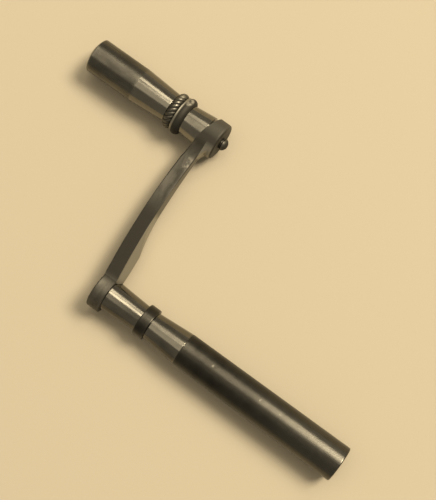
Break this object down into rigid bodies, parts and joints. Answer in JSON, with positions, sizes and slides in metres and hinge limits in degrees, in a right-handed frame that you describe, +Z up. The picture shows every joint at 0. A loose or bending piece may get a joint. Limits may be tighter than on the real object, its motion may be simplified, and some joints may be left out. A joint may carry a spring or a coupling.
{
  "type": "clock winding crank key",
  "caption": "Steel crank key that winds a longcase clock: square-socket pipe, bowed arm and a turned handle that spins in the arm's eye.",
  "frame": {"origin": "centre of the square socket at the pipe's mouth", "axes": "+X out of the socket along the pipe, +Y from the pipe's axis to the handle's axis, +Z up as the key lies on its side"},
  "size_m": [0.1407, 0.0732, 0.0134],
  "materials": {
    "arm_steel": "satin, darkened by handling",
    "bright_steel": "polished, lightly worn",
    "dark_steel": "dark patina with rubbed specks",
    "worn_steel": "blotchy patina, half polished",
    "ring_steel": "polished with dark recesses"
  },
  "bodies": {
    "crank": {"crank_arm": "arm_steel", "hub_stem": "bright_steel", "pipe_collar": "dark_steel", "neck_cone": "bright_steel", "socket_pipe": "dark_steel"},
    "handle": {"handle_grip": "worn_steel", "corded_ring": "ring_steel", "bead_ring": "ring_steel", "neck_ferrule": "bright_steel", "handle_spindle": "bright_steel", "spindle_button": "ring_steel"}
  },
  "joints": [
    {"name": "handle_spin", "type": "hinge", "parent": "crank", "child": "handle", "pos_m": [-0.09195, 0.06, 0], "axis": [1, 0, 0], "continuous": true}
  ]
}
